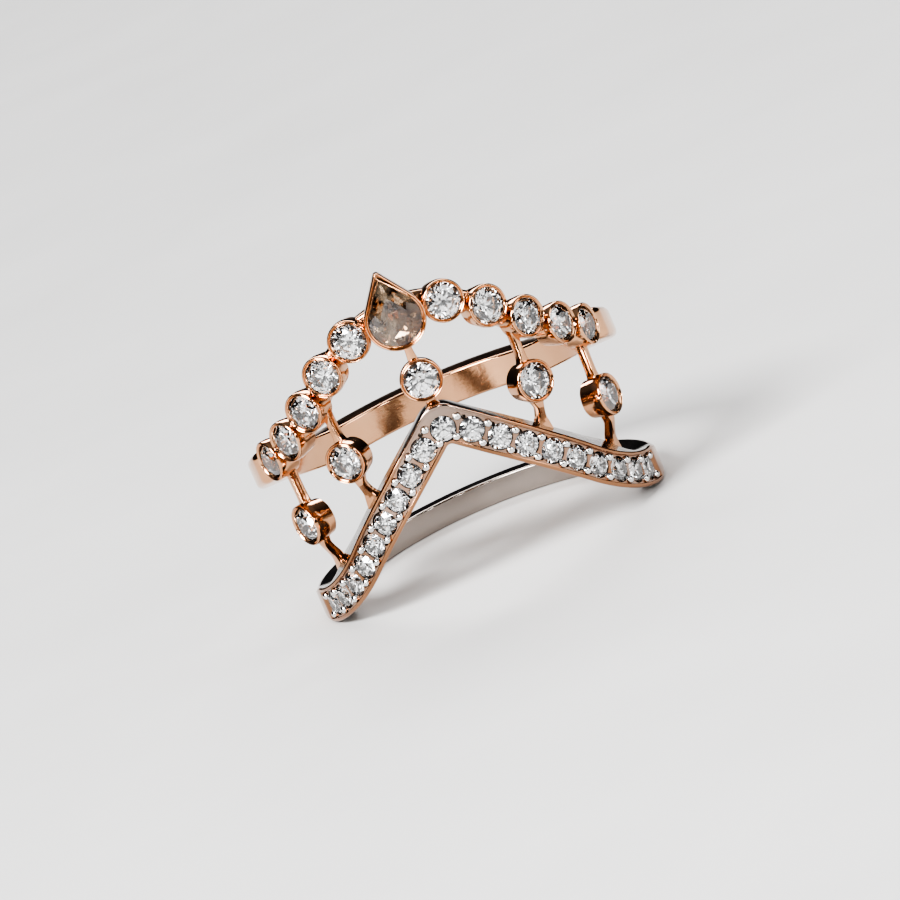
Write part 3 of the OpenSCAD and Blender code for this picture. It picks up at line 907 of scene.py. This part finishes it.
def brilliant(outline, table_share, star_share, crown, girdle, pavilion):
    """A 57-facet cut. Outline gives the girdle's point at a turn, in degrees."""

    def at(turn, share, z):
        x, y = outline(turn)
        return (x * share, y * share, z)

    # Eight main facets a turn, with stars halfway and four girdle facets to each
    main_turn = 45
    star_turn = main_turn / 2
    girdle_turn = main_turn / 4
    star = mix(table_share, 1, star_share)
    star_z = crown * (1 - star * cosd(star_turn)) / (1 - table_share)
    lower_z = -girdle - pavilion * (1 - LOWER_SHARE)
    points = [at(main_turn * k, table_share, crown) for k in range(8)]
    points += [at(main_turn * k + star_turn, star, star_z) for k in range(8)]
    points += [at(girdle_turn * k, 1, 0) for k in range(32)]
    points += [at(girdle_turn * k, 1, -girdle) for k in range(32)]
    points += [at(main_turn * k + star_turn, LOWER_SHARE, lower_z) for k in range(8)]
    points += [(0, 0, -girdle - pavilion)]
    # The points' numbers start at 0 for the table, 8 for the stars, 16 and 48 for the girdle's two
    # edges, 80 for the long facets' ends, and 88 is the bottom
    faces = [tuple(range(8))]
    for k in range(8):
        table, table_next = k, (k + 1) % 8
        star_here, star_before = 8 + k, 8 + (k + 7) % 8
        main = 16 + 4 * k
        half = main + 2
        following = 16 + (4 * k + 4) % 32
        faces.append((table, star_here, table_next))
        faces.append((table, star_before, main, star_here))
        faces.append((star_here, main, main + 1))
        faces.append((star_here, main + 1, half))
        faces.append((star_here, half, half + 1))
        faces.append((star_here, half + 1, following))
    for k in range(32):
        there = (k + 1) % 32
        faces.append((16 + k, 48 + k, 48 + there, 16 + there))
    bottom = 88
    for k in range(8):
        low, low_before = 80 + k, 80 + (k + 7) % 8
        main = 48 + 4 * k
        half = main + 2
        following = 48 + (4 * k + 4) % 32
        faces.append((main, low_before, bottom, low))
        faces.append((low, half, main + 1))
        faces.append((low, main + 1, main))
        faces.append((low, half + 1, half))
        faces.append((low, following, half + 1))
    return points, faces


def make_stone(name, points, faces, angle, z, material, node):
    place = stand_at(angle, z)
    mesh = bpy.data.meshes.new(name)
    mesh.from_pydata([place @ Vector(p) * MM for p in points], [], faces)
    bm = bmesh.new()
    bm.from_mesh(mesh)
    bmesh.ops.triangulate(bm, faces=[f for f in bm.faces if len(f.verts) == 4])
    bmesh.ops.recalc_face_normals(bm, faces=bm.faces)
    bm.to_mesh(mesh)
    bm.free()
    mesh.shade_flat()
    mesh.materials.append(material)
    piece = bpy.data.objects.new(name, mesh)
    bpy.context.scene.collection.objects.link(piece)
    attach(piece, "root")
    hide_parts(node)
    return piece


def make_round_stones(material):
    chance = random.Random(7)
    families = [
        ("row_stone_", row_places(), STONE_D, CUP_GIRDLE_R),
        ("cup_stone_", strut_cup_places(), STONE_D, CUP_GIRDLE_R),
        ("pave_stone_", pave_places(), PAVE_D, PAVE_GIRDLE_R),
    ]
    for family, places, d, girdle_r in families:
        for name, angle, z in places:
            spin = chance.uniform(0, 45)
            points, faces = brilliant(
                lambda turn: (d / 2 * cosd(turn + spin), d / 2 * sind(turn + spin)),
                TABLE_SHARE,
                STAR_SHARE,
                d * CROWN_SHARE,
                d * GIRDLE_SHARE,
                d * PAVILION_SHARE,
            )
            points = [(x, y, h + girdle_r) for x, y, h in points]
            node = family + name
            make_stone(node + "_cut", points, faces, angle, z, material, node)


def make_pear_stone(material):
    outline = pear_outline(PEAR_RIM_T, 24)
    middle_x, middle_y = PEAR_MIDDLE

    def girdle_point(turn):
        way = Vector((cosd(turn), sind(turn)))
        far = pear_reach(outline, way)
        return way.x * far, way.y * far

    points, faces = brilliant(
        girdle_point, PEAR_TABLE_SHARE, PEAR_STAR_SHARE, PEAR_CROWN, PEAR_GIRDLE, PEAR_PAVILION
    )
    points = [(x + middle_x, y + middle_y, h + PEAR_GIRDLE_R) for x, y, h in points]
    make_stone(
        "pear_stone_cut", points, faces, 0, PEAR_Z, material, "pear_stone"
    )


# Materials


def node_material(name):
    """A new material, its node tree, its shader, and the place on the object in metres."""
    material = bpy.data.materials.new(name)
    material.use_nodes = True
    tree = material.node_tree
    shader = tree.nodes["Principled BSDF"]
    place = tree.nodes.new("ShaderNodeTexCoord")
    return material, tree, shader, place.outputs["Object"]


def noise(tree, place, scale, detail=3.0, stretch=None):
    texture = tree.nodes.new("ShaderNodeTexNoise")
    texture.inputs["Scale"].default_value = scale
    texture.inputs["Detail"].default_value = detail
    if stretch:
        mapping = tree.nodes.new("ShaderNodeMapping")
        mapping.inputs["Scale"].default_value = stretch
        tree.links.new(place, mapping.inputs["Vector"])
        place = mapping.outputs["Vector"]
    tree.links.new(place, texture.inputs["Vector"])
    return texture.outputs["Fac"]


def spread(tree, value, low, high, start=0.3, end=0.7):
    """The value between start and end, spread from low to high."""
    node = tree.nodes.new("ShaderNodeMapRange")
    node.inputs["From Min"].default_value = start
    node.inputs["From Max"].default_value = end
    node.inputs["To Min"].default_value = low
    node.inputs["To Max"].default_value = high
    tree.links.new(value, node.inputs["Value"])
    return node.outputs["Result"]


def blend_colours(tree, share, first, second):
    """Two colours, the second of which may be another node's, mixed by a share."""
    node = tree.nodes.new("ShaderNodeMix")
    node.data_type = "RGBA"
    node.inputs["A"].default_value = (*first, 1)
    if isinstance(second, tuple):
        node.inputs["B"].default_value = (*second, 1)
    else:
        tree.links.new(second, node.inputs["B"])
    tree.links.new(share, node.inputs["Factor"])
    return node.outputs["Result"]


def calculate(tree, operation, *values):
    """A Math node's result, from numbers and other nodes' values."""
    node = tree.nodes.new("ShaderNodeMath")
    node.operation = operation
    for socket, value in zip(node.inputs, values):
        if isinstance(value, float):
            socket.default_value = value
        else:
            tree.links.new(value, socket)
    return node.outputs["Value"]


def bump(tree, height, strength, distance):
    node = tree.nodes.new("ShaderNodeBump")
    node.inputs["Strength"].default_value = strength
    node.inputs["Distance"].default_value = distance
    tree.links.new(height, node.inputs["Height"])
    return node


def polished_metal(name, light, dark, smooth_rough, dull_rough):
    """A polished metal with a faint drift of colour, polishing haze and fine scratches."""
    material, tree, shader, place = node_material(name)
    shader.inputs["Metallic"].default_value = 1.0
    drift = spread(tree, noise(tree, place, 260), 0, 1)
    tree.links.new(blend_colours(tree, drift, light, dark), shader.inputs["Base Color"])
    haze = spread(tree, noise(tree, place, 1100, 5), smooth_rough, dull_rough)
    tree.links.new(haze, shader.inputs["Roughness"])
    cast = bump(tree, noise(tree, place, 1700, 2), 0.25, 0.00003)
    scratches = bump(tree, noise(tree, place, 2600, 4, (1, 1, 7)), 0.12, 0.000012)
    tree.links.new(cast.outputs["Normal"], scratches.inputs["Normal"])
    tree.links.new(scratches.outputs["Normal"], shader.inputs["Normal"])
    return material


def metal_with_painted_shade(name, light, dark, reflection_grey, edge_r, point_z):
    """The polished metal, with a painted reflection of dark surroundings: grey nearer the finger than
    edge_r and above point_z, at the point.
    """
    material = polished_metal(name, light, dark, 0.09, 0.16)
    tree = material.node_tree
    shader = tree.nodes["Principled BSDF"]
    place = tree.nodes["Texture Coordinate"].outputs["Object"]
    metal = shader.inputs["Base Color"].links[0].from_socket
    flat = tree.nodes.new("ShaderNodeVectorMath")
    flat.operation = "MULTIPLY"
    flat.inputs[1].default_value = (1, 1, 0)
    tree.links.new(place, flat.inputs[0])
    far = tree.nodes.new("ShaderNodeVectorMath")
    far.operation = "LENGTH"
    tree.links.new(flat.outputs["Vector"], far.inputs[0])
    # The edge of the painted grey reflection wobbles a little with noise
    edge_wobble = 0.12 * MM
    wobbly_radius = calculate(tree, "MULTIPLY_ADD", noise(tree, place, 700, 4), edge_wobble, far.outputs["Value"])
    outside = spread(tree, wobbly_radius, 0, 1, edge_r * MM, (edge_r + 0.06) * MM)
    split = tree.nodes.new("ShaderNodeSeparateXYZ")
    tree.links.new(place, split.inputs["Vector"])
    below = spread(tree, split.outputs["Z"], 0.35, 1, point_z * MM, (point_z - 2) * MM)
    # Share of the metal's own colour, where the painted grey reflection gives way
    gold_share = calculate(tree, "MULTIPLY", outside, below)
    tree.links.new(blend_colours(tree, gold_share, reflection_grey, metal), shader.inputs["Base Color"])
    return material


def cut_stone(name, light, dark, haze, ior, clear=1.0):
    """A stone with a faint drift of tint and specks of haze inside, milky where not all clear."""
    material, tree, shader, place = node_material(name)
    shader.inputs["Transmission Weight"].default_value = clear
    shader.inputs["IOR"].default_value = ior
    drift = spread(tree, noise(tree, place, 800, 4), 0, 1, 0.42, 0.6)
    tree.links.new(blend_colours(tree, drift, light, dark), shader.inputs["Base Color"])
    specks = spread(tree, noise(tree, place, 2400, 3), 0.0, haze, 0.45, 0.75)
    tree.links.new(specks, shader.inputs["Roughness"])
    if clear < 1:
        cloud = spread(tree, noise(tree, place, 1500, 4), clear, 1, 0.4, 0.6)
        tree.links.new(cloud, shader.inputs["Transmission Weight"])
    return material


def floor_material():
    """Pale matt paper with a faint grain."""
    material, tree, shader, place = node_material("pale_floor")
    grain = spread(tree, noise(tree, place, 60, 6), 0, 1)
    tone = blend_colours(tree, grain, (0.56, 0.555, 0.55), (0.59, 0.585, 0.58))
    tree.links.new(tone, shader.inputs["Base Color"])
    shader.inputs["Roughness"].default_value = 0.6
    shader.inputs["Specular IOR Level"].default_value = 0.25
    return material


# Stage


def make_floor():
    mesh = bpy.data.meshes.new("floor")
    bm = bmesh.new()
    bmesh.ops.create_circle(bm, cap_ends=True, segments=96, radius=1.6)
    bm.to_mesh(mesh)
    bm.free()
    floor = bpy.data.objects.new("floor", mesh)
    # Just under the ring, so that it shares no face with it
    floor.location = (0, 0, -0.01 * MM)
    mesh.materials.append(floor_material())
    bpy.context.scene.collection.objects.link(floor)


def make_light(name, place, size, power):
    data = bpy.data.lights.new(name, "AREA")
    data.shape = "RECTANGLE"
    data.size, data.size_y = size
    data.energy = power
    light = bpy.data.objects.new(name, data)
    light.location = place
    way = Vector(LIGHT_AIM) - Vector(place)
    light.rotation_euler = way.to_track_quat("-Z", "Y").to_euler()
    bpy.context.scene.collection.objects.link(light)


def make_world():
    """A studio that is light at the horizon and straight above, and dark between."""
    world = bpy.data.worlds.new("studio")
    bpy.context.scene.world = world
    world.use_nodes = True
    tree = world.node_tree
    place = tree.nodes.new("ShaderNodeTexCoord")
    split = tree.nodes.new("ShaderNodeSeparateXYZ")
    ramp = tree.nodes.new("ShaderNodeValToRGB")
    stops = ramp.color_ramp.elements
    stops[0].position = WORLD_TONES[0][0]
    for level, _ in WORLD_TONES[1:-1]:
        stops.new(level)
    for stop, (_, tone) in zip(stops, WORLD_TONES):
        stop.color = (*tone, 1)
    up = spread(tree, split.outputs["Z"], 0, 1, -1, 1)
    tree.links.new(place.outputs["Generated"], split.inputs["Vector"])
    tree.links.new(up, ramp.inputs["Fac"])
    tree.links.new(ramp.outputs["Color"], tree.nodes["Background"].inputs["Color"])


def make_camera():
    """The photo's camera: its turn round the ring, height and roll, and a long lens."""
    around, up_angle, roll = 0.8485, 12.0, 23.655
    distance, pixels_a_mm, frame = 350.0, 20.0, 900
    aside, above, lift = 0.9425, -2.7468, 8.225
    back = Vector((sind(around) * cosd(up_angle), -cosd(around) * cosd(up_angle), sind(up_angle)))
    level = Vector((cosd(around), sind(around), 0))
    upright = back.cross(level)
    right = level * cosd(roll) - upright * sind(roll)
    up = level * sind(roll) + upright * cosd(roll)
    place = right * aside + up * above + back * distance + Vector((0, 0, lift))
    data = bpy.data.cameras.new("camera")
    data.sensor_width = 36
    data.lens = pixels_a_mm * distance / frame * data.sensor_width
    data.clip_start = 0.01
    data.clip_end = 20
    camera = bpy.data.objects.new("camera", data)
    turn = Matrix((right, up, back)).transposed().to_4x4()
    camera.matrix_world = Matrix.Translation(place * MM) @ turn
    bpy.context.scene.collection.objects.link(camera)
    bpy.context.scene.camera = camera


def main():
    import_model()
    make_camera()
    make_floor()
    make_world()
    for name, place, size, power in LIGHTS:
        make_light(name, place, size, power)

    view = bpy.context.scene.view_settings
    view.view_transform = "AgX"
    view.look = "AgX - High Contrast"
    view.exposure = -0.25

    gold = polished_metal("rose_gold", (0.71, 0.42, 0.255), (0.6, 0.32, 0.18), 0.09, 0.16)
    # The chevron's gold is the rose gold darkened as painted shade, with grey painted on its walls,
    # channel and point as a reflection of dark surroundings
    painted_shade_gold = metal_with_painted_shade(
        "rose_gold_painted_shade", (0.44, 0.23, 0.13), (0.3, 0.158, 0.09), (0.35, 0.31, 0.28), 9.12, 9
    )
    white = polished_metal("rhodium", (0.78, 0.77, 0.76), (0.66, 0.64, 0.63), 0.07, 0.13)
    diamond = cut_stone("white_stone", (0.97, 0.98, 0.985), (0.9, 0.91, 0.92), 0.03, 2.3)
    champagne = cut_stone(
        "champagne_stone", (0.72, 0.55, 0.385), (0.36, 0.18, 0.08), 0.08, 1.9, 0.85
    )

    metal_pieces = [(make_chevron(), painted_shade_gold)]
    metal_pieces += [(make(), gold) for make in (make_row, make_cups, make_pear_collet, make_struts)]
    beads = make_beads()
    for piece, metal in metal_pieces + [(beads, white)]:
        piece.data.materials.clear()
        piece.data.materials.append(metal)
        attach(piece, "root")
        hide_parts("ring_frame")
    make_round_stones(diamond)
    make_pear_stone(champagne)

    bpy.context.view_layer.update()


main()
